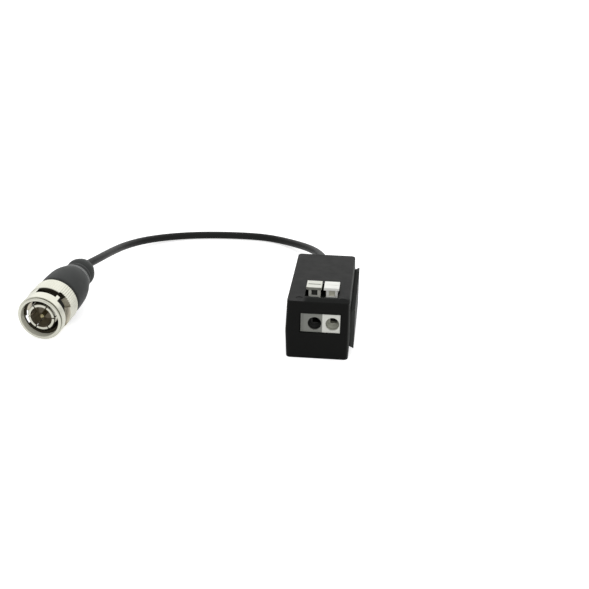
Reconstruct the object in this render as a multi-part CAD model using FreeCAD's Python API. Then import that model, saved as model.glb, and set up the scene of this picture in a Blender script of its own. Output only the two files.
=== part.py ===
import FreeCAD, Part
import math
import os

from FreeCAD import Matrix, Vector

# Video balun: a small two-part plastic housing with a press-to-open wire terminal at its
# front, a matching transformer on a board inside, and a short coaxial lead that ends in a
# bayonet plug. Millimetres. Origin at the bottom centre of the housing, +Z up, the wire
# terminal faces -Y, the lead leaves towards +Y and the joining rail is on the +X side.

# Housing shells
housing_width = 18.5
housing_length = 38.9
housing_height = 17.6
parting_height = 8.25
side_draft = 0.04
corner_radius = 1.3
bottom_edge_radius = 0.35
top_edge_radius = 0.2
side_wall = 1.6
front_wall = 1.4
rear_wall = 1.6
floor_thickness = 1.4
roof_thickness = 1.4
shell_gap = 0.05

# Rail on the right and groove on the left, which join units side by side
rail_centre_height = 8.6
rail_head_half_height = 6.0
rail_neck_half_height = 5.3
rail_reach = 1.1
rail_root_depth = 0.25
rail_front_setback = 3.2
rail_rear_setback = 2.2
rail_clearance = 0.15
groove_back_wall = 1.25

# Window in the front and opening in the roof; the opening is set out from the front face
window_left = -5.1
window_right = 6.6
window_height = 5.85
opening_left = -4.2
opening_right = 5.55
opening_setback = 4.4
opening_length = 9.7
opening_notch_width = 1.6
opening_notch_depth = 0.45
top_mark_radius = 1.0
top_mark_depth = 0.1
top_mark_setback = 2.9
top_mark_sides = (-5.55, 6.85)

# Press-fit posts that hold the shells together
boss_radius = 1.3
pin_radius = 0.75
pin_hole_radius = 0.8
pin_reach = 3.4
pin_hole_depth = 4.0
boss_wall_overlap = 0.15
boss_rear_overlap = 0.3
front_boss_gap = 0.17
front_boss_setback = 4.3
boss_terminal_gap = 0.3

# Circuit board
board_thickness = 1.2
board_bottom = 3.0
board_side_clearance = 0.25
board_front_clearance = 0.6
board_jacket_gap = 0.8
board_notch_clearance = 0.25
standoff_radius = 1.0
standoff_left_inset = 1.5
standoff_right_inset = 1.2
standoff_front_insets = (5.45, 2.65)
standoff_rear_inset = 1.8

# Wire terminal: two pole bodies side by side, with one end cover. Setbacks run from the
# front face of the housing.
pole_pitch = 5.08
entry_middle_x = 1.65
entry_offset = 0.35
entry_height = 11.05
entry_radius = 1.95
entry_depth = 1.6
funnel_depth = 0.8
funnel_end_radius = 1.2
passage_size = 2.1
passage_shift = (0.3, 0.4)
end_cover_thickness = 1.05
cover_rib_width = 0.16
cover_rib_depth = 0.12
cover_rib_insets = (0.28, 0.6)
nose_setback = 0.4
terminal_wall_gap = 0.2
terminal_length = 13.9
nose_gap = 0.15
deck_height = 14.15
chamber_width = 4.5
chamber_front_wall = 2.8
chamber_rear_wall = 1.0
chamber_floor = 5.6
chamber_roof = 11.4

# Press buttons
pad_width = 4.4
pad_length = 5.2
pad_setback = 8.55
pad_top = 18.7
pad_thickness = 0.85
pad_offset = -0.63
pad_edge_radius = 0.15
slot_width = 0.42
slot_depth = 0.35
slot_length = 3.5
stem_width = 3.4
stem_offset = -0.48
stem_front_setback = 0.55
stem_length = 3.6
stem_bottom = 10.75
pocket_width = 1.7
pocket_depth = 0.5
pocket_height = 1.75
guide_clearance = 0.1
button_travel = 0.6

# Contact bars and clamp springs
bar_width = 2.4
bar_thickness = 0.6
bar_top = 9.2
bar_front_gap = 0.7
bar_rear_gap = 1.2
tail_width = 0.9
tail_end = 1.9
tail_clearance = 0.15
spring_width = 2.2
spring_thickness = 0.3
spring_bend_radius = 0.7

# Transformer and other parts on the board
core_centre = (0.5, 1.6)
core_outer_radius = 4.0
core_inner_radius = 2.1
core_height = 3.2
winding_thickness = 0.45
winding_gap = 0.05
winding_arc = 140.0
arrester_centre = (1.2, 8.9)
arrester_radius = 1.9
arrester_length = 5.0
arrester_cap_length = 0.8
arrester_cap_rim = 0.15
arrester_lead_radius = 0.4
arrester_lead_reach = 1.2
suppressor_size = (2.2, 3.4, 2.2)
suppressor_inset = 0.5
suppressor_y = 6.7
chip_size = (1.25, 2.0, 0.6)
chip_inset = 0.3
left_chip_rows = (-1.9, 3.6)
right_chip_rows = (4.9, 7.2)

# Lead and its exit through the rear wall
cord_diameter = 2.6
lead_x = 0.4
bore_clearance = 0.05
bushing_neck_radius = 2.0
bushing_flange_radius = 2.6
bushing_flange_thickness = 0.9
bushing_tip_radius = 1.75
bushing_reach = 4.0
wall_hole_clearance = 0.05
jacket_length_inside = 4.0
dielectric_radius = 0.75
dielectric_length = 1.6
conductor_radius = 0.25
braid_radius = 0.45

# Place of the plug: the point where its axis meets the lip plane, and where its mouth points
plug_x = -81.2
plug_y = -17.3
plug_turn = -6.35
plug_tilt = -4.25
floor_gap = 0.05

# Coupling nut, measured along the plug from the lip plane towards the lead
nut_lip_radius = 6.55
nut_lip_rise = 0.4
nut_groove_radius = 6.3
nut_groove_width = 0.25
nut_collar_radius = 6.95
knurl_start = 6.4
knurl_end = 11.4
knurl_radius = 7.1
knurl_depth = 0.16
knurl_count = 60
nut_length = 11.8
nut_rear_chamfer = 0.3
mouth_radius = 5.8
mouth_depth = 1.7
nut_bore_radius = 5.1
nut_flange_thickness = 1.45
nut_running_gap = 0.08
cam_front_angle = -40.0
cam_tooth_angle = 47.0
cam_end_angle = 108.0
cam_wide_front = 2.4
cam_tooth_peak = 4.7
cam_narrow_front = 3.8
cam_rear = 6.15
cam_rear_bulge = 6.75
entry_groove_angle = 20.0
entry_groove_width = 2.6

# Plug body, contacts and rings, measured the same way
sleeve_front = 0.75
sleeve_outer_radius = 4.1
sleeve_inner_radius = 3.3
sleeve_slit_count = 6
sleeve_slit_width = 0.35
sleeve_slit_end = 5.4
flange_front = 7.6
flange_thickness = 1.2
flange_radius = 4.95
barrel_end = 13.8
crimp_stem_end = 21.0
crimp_stem_radius = 2.5
crimp_stem_bore = 1.7
insulator_front = 6.2
insulator_end = 12.0
insulator_clearance = 0.05
pin_tip = 1.1
contact_pin_radius = 0.68
pin_collar_radius = 0.95
pin_end = 15.8
gasket_thickness = 0.8
spring_washer_height = 1.1
spring_washer_thickness = 0.25
slip_washer_thickness = 0.4
washer_inner_radius = 4.2
washer_outer_radius = 4.95
face_gap = 0.02
clip_thickness = 0.45
clip_radius = 4.6
clip_groove_depth = 0.5
clip_opening = 50.0
clip_gap = 0.05
nut_travel = 0.4

# Crimp ferrule and moulded boot, measured the same way
ferrule_start = 14.4
ferrule_end = 22.0
ferrule_wall = 0.5
ferrule_clearance = 0.05
boot_start = 13.0
boot_end = 34.4
boot_front_round = 0.4
boot_shoulder = (
    (13.4, 6.76),
    (16.2, 6.84),
    (19.0, 6.72),
    (23.0, 6.13),
    (26.3, 4.9),
)
boot_band_end = 26.8
boot_rings = (
    (27.4, 4.2),
    (28.4, 4.62),
    (29.6, 4.1),
    (31.2, 4.55),
    (32.9, 4.2),
)
boot_tip_radius = 2.6
boot_cavity_clearance = 0.05

# Route of the lead from the bushing to the boot: corner points of straight runs after the
# first one, which leaves the bushing level
cord_first_run = 6.8
cord_lead_in = 3.6
cord_route = (
    (-1.3, 40.55, 6.9),
    (-6.0, 58.25, 4.3),
    (-18.2, 74.05, 1.35),
    (-28.6, 77.65, 1.35),
    (-45.6, 76.95, 1.35),
    (-58.8, 73.55, 1.35),
    (-68.4, 65.25, 2.3),
    (-73.0, 55.25, 3.7),
    (-74.5, 45.25, 5.5),
    (-75.1, 34.75, 7.6),
    (-75.9, 26.35, 8.95),
)



# General helpers

def save(shape, node):
    shape.exportStep("parts/%s.step" % node)


def box(x_low, x_high, y_low, y_high, z_low, z_high):
    corner = Vector(x_low, y_low, z_low)
    return Part.makeBox(x_high - x_low, y_high - y_low, z_high - z_low, corner)


def upright_cylinder(radius, centre, z_low, z_high):
    return Part.makeCylinder(radius, z_high - z_low, Vector(centre[0], centre[1], z_low))


def cylinder_along_y(radius, x, z, y_low, y_high):
    return Part.makeCylinder(radius, y_high - y_low, Vector(x, y_low, z), Vector(0, 1, 0))


def prism(points, direction):
    return Part.Face(Part.makePolygon(points + [points[0]])).extrude(direction)


def side_profile(pairs, x_low, x_high):
    return prism([Vector(x_low, y, z) for y, z in pairs], Vector(x_high - x_low, 0, 0))


def tangent_path(points, share=0.45, radius=None):
    """Edges of straight runs joined by tangent arcs, and the radius of each arc."""
    edges = []
    radii = []
    start = points[0]
    for before, corner, after in zip(points, points[1:], points[2:]):
        run_in = corner - before
        run_out = after - corner
        half_turn = run_in.getAngle(run_out) / 2
        bend = radius or share * min(run_in.Length, run_out.Length) / math.tan(half_turn)
        reach = bend * math.tan(half_turn)
        unit_in = Vector(run_in).normalize()
        unit_out = Vector(run_out).normalize()
        arc_start = corner - unit_in * reach
        arc_end = corner + unit_out * reach
        towards_centre = (unit_out - unit_in).normalize()
        centre = corner + towards_centre * (bend / math.cos(half_turn))
        middle = centre - towards_centre * bend
        edges.append(Part.LineSegment(start, arc_start).toShape())
        edges.append(Part.Arc(arc_start, middle, arc_end).toShape())
        radii.append(bend)
        start = arc_end
    edges.append(Part.LineSegment(start, points[-1]).toShape())
    return edges, radii


def sweep(profile, edges):
    return Part.Wire(edges).makePipeShell([profile], True, False, 2)


def round_wire_lead(radius, points, bend):
    edges, _ = tangent_path([Vector(*p) for p in points], radius=bend)
    direction = edges[0].tangentAt(edges[0].FirstParameter)
    circle = Part.Wire(Part.makeCircle(radius, Vector(*points[0]), direction))
    return sweep(circle, edges)


def revolve(pairs):
    """Solid of revolution about +Z from (station, radius) pairs, stations running down -Z."""
    points = [Vector(radius, 0, -station) for station, radius in pairs]
    face = Part.Face(Part.makePolygon(points + [points[0]]))
    return face.revolve(Vector(0, 0, 0), Vector(0, 0, 1), 360)


def tube(start, end, outer, inner):
    return revolve([(start, inner), (start, outer), (end, outer), (end, inner)])


# Values that follow from the driving dimensions

half_width = housing_width / 2
half_length = housing_length / 2
front_face = -half_length
rear_face = half_length
inner_right = half_width - side_wall
groove_bottom = -half_width + rail_reach + rail_clearance
inner_left = groove_bottom + groove_back_wall
inner_front = front_face + front_wall
inner_rear = rear_face - rear_wall
inner_roof = housing_height - roof_thickness
window_top = parting_height + window_height
opening_front = front_face + opening_setback
opening_rear = opening_front + opening_length
exit_height = parting_height
jacket_radius = cord_diameter / 2
jacket_end = rear_face - jacket_length_inside
dielectric_end = jacket_end - dielectric_length
bushing_end = rear_face + bushing_reach

nose_bottom = parting_height + nose_gap
nose_top = window_top - nose_gap
terminal_front = front_face + nose_setback
terminal_body_front = inner_front + terminal_wall_gap
terminal_rear = terminal_body_front + terminal_length
chamber_front = terminal_body_front + chamber_front_wall
chamber_rear = terminal_rear - chamber_rear_wall
bar_front = chamber_front + bar_front_gap
bar_rear = chamber_rear - bar_rear_gap
pad_front = front_face + pad_setback
pad_bottom = pad_top - pad_thickness
module_centres = (
    entry_middle_x - pole_pitch / 2 - entry_offset,
    entry_middle_x + pole_pitch / 2 - entry_offset,
)

boss_left = inner_left - boss_wall_overlap + boss_radius
end_cover_left = module_centres[0] - pole_pitch / 2 - end_cover_thickness
boss_right = inner_right + boss_wall_overlap - boss_radius
boss_rear = inner_rear + boss_rear_overlap - boss_radius
boss_places = (
    (end_cover_left - front_boss_gap - boss_radius, front_face + front_boss_setback),
    (boss_right, terminal_rear + boss_terminal_gap + boss_radius),
    (boss_left, boss_rear),
    (boss_right, boss_rear),
)

board_top = board_bottom + board_thickness
board_left = inner_left + board_side_clearance
board_right = inner_right - board_side_clearance
board_front = inner_front + board_front_clearance
board_rear = jacket_end - board_jacket_gap
standoff_left = board_left + standoff_left_inset
standoff_right = board_right - standoff_right_inset
hold_down_places = (
    (standoff_left, board_rear - standoff_rear_inset),
    (standoff_right, board_rear - standoff_rear_inset),
)
standoff_places = hold_down_places + (
    (standoff_left, board_front + standoff_front_insets[0]),
    (standoff_right, board_front + standoff_front_insets[1]),
)
chip_places = (
    [(board_left + chip_inset + chip_size[0] / 2, row) for row in left_chip_rows]
    + [(board_right - chip_inset - chip_size[0] / 2, row) for row in right_chip_rows]
)
pole_names = ("grey", "white")


# Housing shells

def drafted_block(rim_z, rim_radius):
    """Half of the housing's outer form: full size at the parting plane, narrower at its rim."""
    inset = abs(rim_z - parting_height) * side_draft
    top_x = half_width - inset
    top_y = half_length - inset
    block = Part.makeWedge(
        -half_width, 0, -half_length, -top_y, -top_x,
        half_width, abs(rim_z - parting_height), half_length, top_y, top_x,
    )
    block.rotate(Vector(0, 0, 0), Vector(1, 0, 0), 90 if rim_z > parting_height else -90)
    block.translate(Vector(0, 0, parting_height))
    uprights = [e for e in block.Edges if abs(e.Vertexes[0].Z - e.Vertexes[1].Z) > 1]
    block = block.makeFillet(corner_radius, uprights)
    rim = [e for e in block.Edges if all(abs(v.Z - rim_z) < 1e-4 for v in e.Vertexes)]
    return block.makeFillet(rim_radius, rim)


def rail_profile(growth, x_shift):
    root_x = inner_right + rail_root_depth
    neck_x = half_width - rail_root_depth
    head_x = half_width + rail_reach + growth
    neck = rail_neck_half_height + growth
    head = rail_head_half_height + growth
    pairs = ((root_x, neck), (neck_x, neck), (head_x, head))
    upper = [(x + x_shift, rail_centre_height + z) for x, z in pairs]
    lower = [(x + x_shift, rail_centre_height - z) for x, z in reversed(pairs)]
    return upper + lower


def rail_bar(growth, x_shift, y_start, y_end):
    outline = [Vector(x, y_start, z) for x, z in rail_profile(growth, x_shift)]
    return prism(outline, Vector(0, y_end - y_start, 0))


def rail():
    return rail_bar(0, 0, front_face + rail_front_setback, rear_face - rail_rear_setback)


def groove():
    front_end = front_face + rail_front_setback - rail_clearance
    return rail_bar(rail_clearance, -housing_width, front_end, rear_face + rail_rear_setback)


def bushing_hole():
    radius = bushing_neck_radius + wall_hole_clearance
    return cylinder_along_y(radius, lead_x, exit_height, inner_rear - 1.0, rear_face + 1.0)


def upper_shell():
    outer = drafted_block(housing_height, top_edge_radius)
    slab = box(-half_width, housing_width, -half_length, half_length, parting_height, housing_height)
    outer = outer.fuse(rail().common(slab))
    cavity = box(inner_left, inner_right, inner_front, inner_rear, parting_height, inner_roof)
    shell = outer.cut(cavity)
    posts = []
    for place in boss_places:
        posts.append(upright_cylinder(boss_radius, place, parting_height, inner_roof))
        posts.append(upright_cylinder(pin_radius, place, parting_height - pin_reach, inner_roof))
    for place in hold_down_places:
        posts.append(upright_cylinder(standoff_radius, place, board_top + shell_gap, inner_roof))
    shell = shell.fuse(posts)
    window = box(window_left, window_right, -half_length, inner_front, parting_height, window_top)
    top_opening = box(
        opening_left, opening_right, opening_front, opening_rear, inner_roof, housing_height
    )
    notch_left = (opening_left + opening_right - opening_notch_width) / 2
    notch_right = notch_left + opening_notch_width
    notch_front = opening_front - opening_notch_depth
    notch = box(notch_left, notch_right, notch_front, opening_front, inner_roof, housing_height)
    mark_y = front_face + top_mark_setback
    mark_bottom = housing_height - top_mark_depth
    marks = [
        upright_cylinder(top_mark_radius, (x, mark_y), mark_bottom, housing_height)
        for x in top_mark_sides
    ]
    return shell.cut([window, top_opening, notch, groove(), bushing_hole()] + marks).removeSplitter()


def lower_shell():
    outer = drafted_block(0, bottom_edge_radius)
    slab = box(-half_width, housing_width, -half_length, half_length, 0, parting_height)
    outer = outer.fuse(rail().common(slab))
    cavity = box(inner_left, inner_right, inner_front, inner_rear, floor_thickness, parting_height)
    shell = outer.cut(cavity)
    posts = [upright_cylinder(boss_radius, p, floor_thickness, parting_height) for p in boss_places]
    posts += [
        upright_cylinder(standoff_radius, p, floor_thickness, board_bottom) for p in standoff_places
    ]
    shell = shell.fuse(posts)
    hole_bottom = parting_height - pin_hole_depth
    holes = [upright_cylinder(pin_hole_radius, p, hole_bottom, parting_height) for p in boss_places]
    return shell.cut([groove(), bushing_hole()] + holes).removeSplitter()


# Circuit board and the parts on it

def tail_centre(module_x):
    return (module_x, bar_rear - bar_thickness / 2)


def circuit_board():
    board = box(board_left, board_right, board_front, board_rear, board_bottom, board_top)
    cuts = [
        upright_cylinder(boss_radius + board_notch_clearance, p, board_bottom, board_top)
        for p in boss_places
    ]
    half = tail_width / 2 + tail_clearance
    for module_x in module_centres:
        x, y = tail_centre(module_x)
        cuts.append(box(x - half, x + half, y - half, y + half, board_bottom, board_top))
    return board.cut(cuts)


def on_board(centre, size):
    x, y = centre
    half_x = size[0] / 2
    half_y = size[1] / 2
    return box(x - half_x, x + half_x, y - half_y, y + half_y, board_top, board_top + size[2])


def transformer_core():
    low = board_top + winding_thickness + winding_gap
    outer = upright_cylinder(core_outer_radius, core_centre, low, low + core_height)
    core = outer.cut(upright_cylinder(core_inner_radius, core_centre, low, low + core_height))
    return core.makeChamfer(0.3, core.Edges[:1])


def transformer_winding():
    """Two sleeves round the core, each a sector of a ring with the core's space taken out."""
    inner = core_inner_radius - winding_gap
    outer = core_outer_radius + winding_gap
    top = board_top + core_height + 2 * (winding_thickness + winding_gap)
    x, y = core_centre
    coils = []
    for start in (-winding_arc / 2, 180 - winding_arc / 2):
        base = Vector(x, y, board_top)
        wedge = Part.makeCylinder(
            outer + winding_thickness, top - board_top, base, Vector(0, 0, 1), winding_arc,
        )
        wedge.rotate(base, Vector(0, 0, 1), start)
        wedge = wedge.cut(upright_cylinder(inner - winding_thickness, core_centre, board_top, top))
        low = board_top + winding_thickness
        high = top - winding_thickness
        space = upright_cylinder(outer, core_centre, low, high)
        space = space.cut(upright_cylinder(inner, core_centre, low, high))
        coils.append(wedge.cut(space))
    return Part.makeCompound(coils)


def surge_arrester():
    x, y = arrester_centre
    z = board_top + arrester_radius + arrester_cap_rim + shell_gap
    half = arrester_length / 2
    body = Part.makeCylinder(arrester_radius, arrester_length, Vector(x - half, y, z), Vector(1, 0, 0))
    cap_radius = arrester_radius + arrester_cap_rim
    caps = []
    for start in (x - half, x + half - arrester_cap_length):
        cap_start = Vector(start, y, z)
        caps.append(Part.makeCylinder(cap_radius, arrester_cap_length, cap_start, Vector(1, 0, 0)))
    leads = []
    for side in (-1, 1):
        corner = Vector(x + side * (half + arrester_lead_reach), y, z)
        outwards = Vector(-side, 0, 0)
        leads.append(Part.makeCylinder(arrester_lead_radius, arrester_lead_reach, corner, outwards))
        leads.append(Part.makeSphere(arrester_lead_radius, corner))
        leads.append(upright_cylinder(arrester_lead_radius, corner, board_top, z))
    return body.fuse(caps + leads).removeSplitter()


def suppressor():
    x = board_left + suppressor_inset + suppressor_size[0] / 2
    case = on_board((x, suppressor_y), suppressor_size)
    top_edges = [e for e in case.Edges if e.BoundBox.ZMin > board_top + suppressor_size[2] - 0.01]
    return case.makeChamfer(0.35, top_edges)


def chip_parts():
    return Part.makeCompound([on_board(place, chip_size) for place in chip_places])


# Wire terminal

def terminal_outline():
    return (
        (terminal_body_front, board_top),
        (terminal_body_front, nose_bottom),
        (terminal_front, nose_bottom),
        (terminal_front, nose_top),
        (terminal_body_front, nose_top),
        (terminal_body_front, deck_height),
        (terminal_rear, deck_height),
        (terminal_rear, board_top),
    )


def stem_box(module_x, growth, z_low, z_high):
    x = module_x + stem_offset
    front = pad_front + stem_front_setback
    half = stem_width / 2 + growth
    return box(x - half, x + half, front - growth, front + stem_length + growth, z_low, z_high)


def terminal_body(module_x):
    body = side_profile(terminal_outline(), module_x - pole_pitch / 2, module_x + pole_pitch / 2)
    entry_x = module_x + entry_offset
    cone_start = terminal_front + entry_depth
    mouth = cylinder_along_y(entry_radius, entry_x, entry_height, terminal_front, cone_start)
    cone_base = Vector(entry_x, cone_start, entry_height)
    funnel = Part.makeCone(entry_radius, funnel_end_radius, funnel_depth, cone_base, Vector(0, 1, 0))
    half = passage_size / 2
    passage_x = entry_x + passage_shift[0]
    passage_z = entry_height + passage_shift[1]
    passage = box(
        passage_x - half, passage_x + half,
        cone_start + funnel_depth / 2, chamber_front,
        passage_z - half, passage_z + half,
    )
    side = chamber_width / 2
    chamber = box(
        module_x - side, module_x + side, chamber_front, chamber_rear, chamber_floor, chamber_roof,
    )
    guide = stem_box(module_x, guide_clearance, chamber_roof, deck_height)
    x, y = tail_centre(module_x)
    slot_half = tail_width / 2 + tail_clearance
    tail_slot = box(x - slot_half, x + slot_half, y - slot_half, y + slot_half, board_top, chamber_floor)
    return body.cut([mouth, funnel, passage, chamber, guide, tail_slot]).removeSplitter()


def terminal_end_cover():
    right = module_centres[0] - pole_pitch / 2
    left = right - end_cover_thickness
    cover = side_profile(terminal_outline(), left, right)
    cuts = []
    for inset in cover_rib_insets:
        groove_left = left + inset
        groove_right = groove_left + cover_rib_width
        groove_rear = terminal_front + cover_rib_depth
        cuts.append(box(groove_left, groove_right, terminal_front, groove_rear, nose_bottom, nose_top))
    return cover.cut(cuts)


def button(module_x):
    pad_x = module_x + pad_offset
    half = pad_width / 2
    pad = box(pad_x - half, pad_x + half, pad_front, pad_front + pad_length, pad_bottom, pad_top)
    pad = pad.makeFillet(pad_edge_radius, [e for e in pad.Edges if e.CenterOfMass.z > pad_bottom + 0.01])
    stem = stem_box(module_x, 0, stem_bottom, pad_bottom)
    slot_y = pad_front + pad_length / 2
    slot = box(
        pad_x - slot_length / 2, pad_x + slot_length / 2,
        slot_y - slot_width / 2, slot_y + slot_width / 2,
        pad_top - slot_depth, pad_top,
    )
    stem_x = module_x + stem_offset
    stem_front = pad_front + stem_front_setback
    pocket = box(
        stem_x - pocket_width / 2, stem_x + pocket_width / 2,
        stem_front, stem_front + pocket_depth,
        pad_bottom - pocket_height, pad_bottom,
    )
    return pad.fuse(stem).cut([slot, pocket]).removeSplitter()


def contact_bar(module_x):
    half = bar_width / 2
    bar = box(module_x - half, module_x + half, bar_front, bar_rear, bar_top - bar_thickness, bar_top)
    leg_front = bar_rear - bar_thickness
    leg = box(module_x - half, module_x + half, leg_front, bar_rear, chamber_floor, bar_top)
    tail_half = tail_width / 2
    tail = box(module_x - tail_half, module_x + tail_half, leg_front, bar_rear, tail_end, chamber_floor)
    return bar.fuse([leg, tail]).removeSplitter()


def clamp_spring(module_x):
    rest = bar_top + spring_thickness / 2 + shell_gap
    top = stem_bottom - spring_thickness / 2 - guide_clearance
    anchor_y = chamber_rear - spring_thickness / 2 - shell_gap
    path = (
        (bar_front + 1.2, rest),
        (anchor_y - 2.6, top),
        (anchor_y, top - 0.5),
        (anchor_y, chamber_floor + shell_gap),
    )
    points = [Vector(module_x, y, z) for y, z in path]
    edges, _ = tangent_path(points, radius=spring_bend_radius)
    along = (points[1] - points[0]).normalize()
    across = Vector(1, 0, 0)
    normal = along.cross(across)
    half_width_step = across * (spring_width / 2)
    half_thick_step = normal * (spring_thickness / 2)
    start = points[0]
    corners = [
        start - half_width_step - half_thick_step,
        start + half_width_step - half_thick_step,
        start + half_width_step + half_thick_step,
        start - half_width_step + half_thick_step,
    ]
    return sweep(Part.makePolygon(corners + corners[:1]), edges)


# Lead inside the housing, bushing and free lead

def cable_bushing():
    bore = jacket_radius + bore_clearance
    inner_flange_start = inner_rear - bushing_flange_thickness
    outer_flange_end = rear_face + bushing_flange_thickness
    pieces = [
        cylinder_along_y(bushing_flange_radius, lead_x, exit_height, inner_flange_start, inner_rear),
        cylinder_along_y(bushing_neck_radius, lead_x, exit_height, inner_rear, rear_face),
        cylinder_along_y(bushing_flange_radius, lead_x, exit_height, rear_face, outer_flange_end),
    ]
    cone_base = Vector(lead_x, outer_flange_end, exit_height)
    cone_length = bushing_reach - bushing_flange_thickness
    rearward = Vector(0, 1, 0)
    taper = Part.makeCone(bushing_neck_radius, bushing_tip_radius, cone_length, cone_base, rearward)
    solid = pieces[0].fuse(pieces[1:] + [taper])
    hole = cylinder_along_y(bore, lead_x, exit_height, inner_flange_start, bushing_end)
    return solid.cut(hole).removeSplitter()


def cable_end():
    jacket = cylinder_along_y(jacket_radius, lead_x, exit_height, jacket_end, bushing_end)
    core = cylinder_along_y(dielectric_radius, lead_x, exit_height, dielectric_end, jacket_end)
    return jacket.fuse(core).removeSplitter()


def centre_lead():
    path = (
        (lead_x, dielectric_end, exit_height),
        (lead_x, dielectric_end - 1.4, exit_height),
        (lead_x, dielectric_end - 1.4, board_top),
    )
    return round_wire_lead(conductor_radius, path, 0.6)


def braid_lead():
    side = lead_x + dielectric_radius + braid_radius + shell_gap
    path = (
        (side, jacket_end, exit_height),
        (side, jacket_end - 2.0, exit_height),
        (side, jacket_end - 2.0, board_top),
    )
    return round_wire_lead(braid_radius, path, 0.7)


# Plug: everything is built on +Z with the mouth upwards, then laid in its place

def plug_axis():
    turn = math.radians(plug_turn)
    tilt = math.radians(plug_tilt)
    return Vector(math.sin(turn) * math.cos(tilt), -math.cos(turn) * math.cos(tilt), math.sin(tilt))


def plug_matrix():
    axis = plug_axis()
    across = Vector(-axis.y, axis.x, 0).normalize()
    up = axis.cross(across)
    rim_station = nut_groove_width
    height = nut_collar_radius * math.cos(math.radians(plug_tilt)) + rim_station * axis.z + floor_gap
    return Matrix(
        across.x, up.x, axis.x, plug_x,
        across.y, up.y, axis.y, plug_y,
        across.z, up.z, axis.z, height,
        0, 0, 0, 1,
    )


def place_on_plug(shape):
    return shape.transformed(plug_matrix(), True)


def plug_point(station):
    return plug_matrix().multVec(Vector(0, 0, -station))


def sector(angle_low, angle_high, station_low, station_high):
    """Wedge that cuts the nut wall between two angles and two stations."""
    reach = knurl_radius + 2.0
    wedge = Part.makeCylinder(
        reach, station_high - station_low,
        Vector(0, 0, -station_high), Vector(0, 0, 1), angle_high - angle_low,
    )
    wedge.rotate(Vector(0, 0, 0), Vector(0, 0, 1), angle_low)
    core_height = station_high - station_low
    core = Part.makeCylinder(nut_bore_radius - 0.4, core_height, Vector(0, 0, -station_high))
    return wedge.cut(core)


def cam_slot():
    pieces = [
        sector(cam_front_angle, cam_tooth_angle, cam_wide_front, cam_rear),
        sector(cam_tooth_angle - 1, cam_end_angle, cam_narrow_front, cam_rear),
        sector(10, cam_tooth_angle + 8, cam_rear - 0.2, cam_rear_bulge),
    ]
    slot = pieces[0].fuse(pieces[1:])
    tooth = sector(cam_tooth_angle, cam_tooth_angle + 9, cam_narrow_front, cam_tooth_peak)
    return slot.cut(tooth).removeSplitter()


def knurl_tool():
    depth = knurl_depth
    half_step = math.pi * knurl_radius / knurl_count * 0.6
    outline = [
        Vector(knurl_radius - depth, 0, -knurl_end),
        Vector(knurl_radius + 0.1, half_step, -knurl_end),
        Vector(knurl_radius + 0.1, -half_step, -knurl_end),
    ]
    tooth = prism(outline, Vector(0, 0, knurl_end - knurl_start - 0.6))
    teeth = []
    for index in range(knurl_count):
        copy = tooth.copy()
        copy.rotate(Vector(0, 0, 0), Vector(0, 0, 1), 360.0 * index / knurl_count)
        teeth.append(copy)
    return Part.makeCompound(teeth)


def coupling_nut():
    flange_front = nut_length - nut_flange_thickness
    running_bore = sleeve_outer_radius + nut_running_gap
    profile = [
        (-nut_lip_rise, mouth_radius),
        (-nut_lip_rise, nut_lip_radius - 0.2),
        (-nut_lip_rise + 0.2, nut_lip_radius),
        (0, nut_lip_radius),
        (0, nut_groove_radius),
        (nut_groove_width, nut_groove_radius),
        (nut_groove_width, nut_collar_radius),
        (knurl_start, nut_collar_radius),
        (knurl_start, knurl_radius),
        (nut_length - nut_rear_chamfer, knurl_radius),
        (nut_length, knurl_radius - nut_rear_chamfer),
        (nut_length, running_bore),
        (flange_front, running_bore),
        (flange_front, nut_bore_radius),
        (mouth_depth, nut_bore_radius),
        (mouth_depth, mouth_radius),
    ]
    nut = revolve(profile)
    cuts = [knurl_tool()]
    for turn in (0, 180):
        slot = cam_slot()
        slot.rotate(Vector(0, 0, 0), Vector(0, 0, 1), turn)
        cuts.append(slot)
        half = entry_groove_width / 2
        groove_box = box(0, mouth_radius - 0.05, -half, half, -cam_wide_front - 0.2, -mouth_depth + 0.2)
        groove_box.rotate(Vector(0, 0, 0), Vector(0, 0, 1), entry_groove_angle + turn)
        cuts.append(groove_box)
    return nut.cut(cuts).removeSplitter()


def plug_body():
    flange_end = flange_front + flange_thickness
    clip_start = nut_length + clip_gap
    clip_end = clip_start + clip_thickness + 2 * clip_gap
    clip_floor = sleeve_outer_radius - clip_groove_depth
    profile = [
        (sleeve_front, sleeve_inner_radius),
        (sleeve_front, sleeve_outer_radius - 0.15),
        (sleeve_front + 0.25, sleeve_outer_radius),
        (flange_front, sleeve_outer_radius),
        (flange_front, flange_radius),
        (flange_end, flange_radius),
        (flange_end, sleeve_outer_radius),
        (clip_start - clip_gap, sleeve_outer_radius),
        (clip_start - clip_gap, clip_floor),
        (clip_end, clip_floor),
        (clip_end, sleeve_outer_radius),
        (barrel_end, sleeve_outer_radius),
        (barrel_end, crimp_stem_radius),
        (crimp_stem_end, crimp_stem_radius),
        (crimp_stem_end, crimp_stem_bore),
        (insulator_end + face_gap, crimp_stem_bore),
        (insulator_end + face_gap, sleeve_inner_radius),
    ]
    body = revolve(profile)
    slits = []
    half = sleeve_slit_width / 2
    for index in range(sleeve_slit_count):
        slit = box(0, sleeve_outer_radius + 1, -half, half, -sleeve_slit_end, 0)
        slit.rotate(Vector(0, 0, 0), Vector(0, 0, 1), 360.0 * index / sleeve_slit_count)
        slits.append(slit)
    return body.cut(slits).removeSplitter()


def insulator():
    outer = sleeve_inner_radius - insulator_clearance
    return tube(insulator_front, insulator_end, outer, contact_pin_radius + insulator_clearance)


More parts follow.
